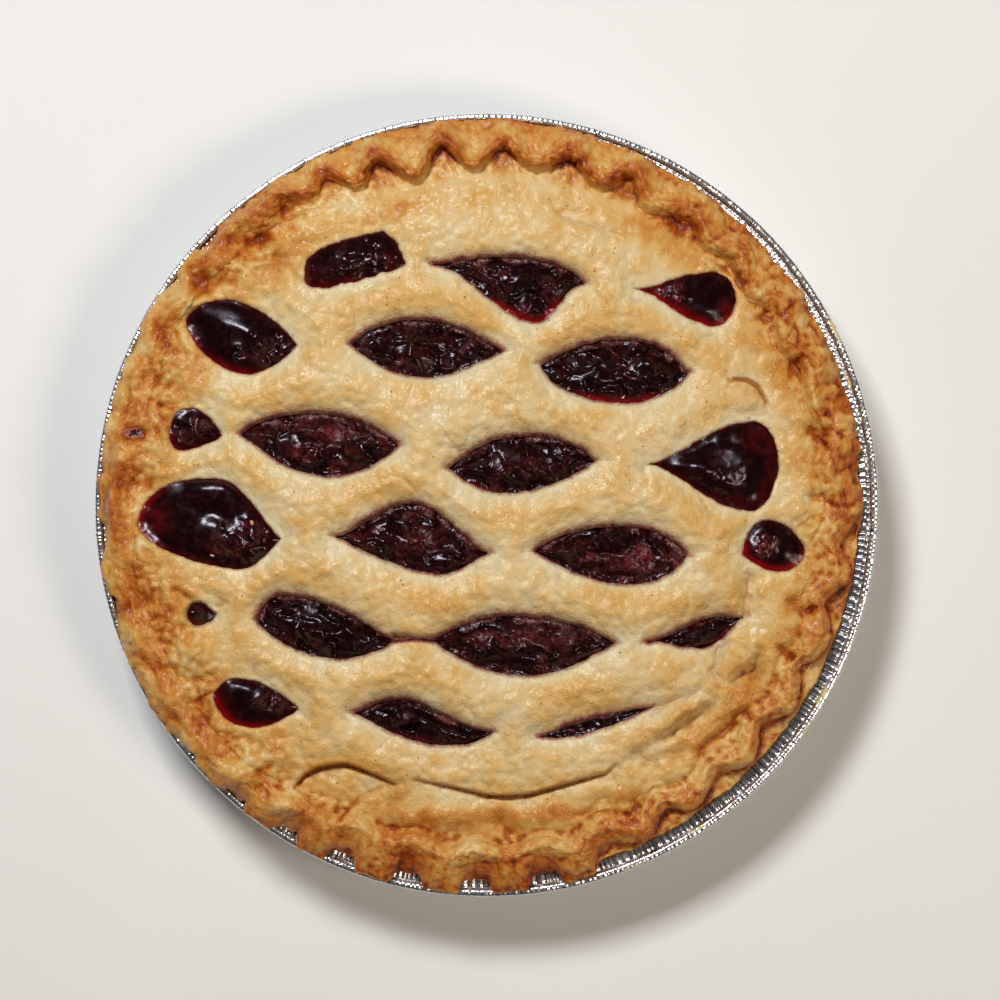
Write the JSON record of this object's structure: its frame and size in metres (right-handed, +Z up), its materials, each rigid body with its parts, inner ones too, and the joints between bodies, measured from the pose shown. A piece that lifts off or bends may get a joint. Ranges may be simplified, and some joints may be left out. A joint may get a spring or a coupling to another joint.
{
  "type": "cherry pie",
  "caption": "Round double-crust cherry pie with a fluted edge and a domed lid cut with vent slots that show dark filling, in its own flared foil pan.",
  "frame": {"origin": "centre of the underside of the foil pan, on the surface it rests on", "axes": "+Z up through the middle of the pie; +Y toward the top of the pie as seen from above, +X to its right"},
  "size_m": [0.2286, 0.2286, 0.0426],
  "materials": {
    "foil": "bright, finely pleated foil",
    "crust": "matte baked pastry, pale cream in the middle and brown at the edge",
    "filling": "wet, glossy, almost black red"
  },
  "bodies": {
    "root": {"foil_pan": "foil", "crust": "crust", "filling": "filling"}
  },
  "joints": []
}
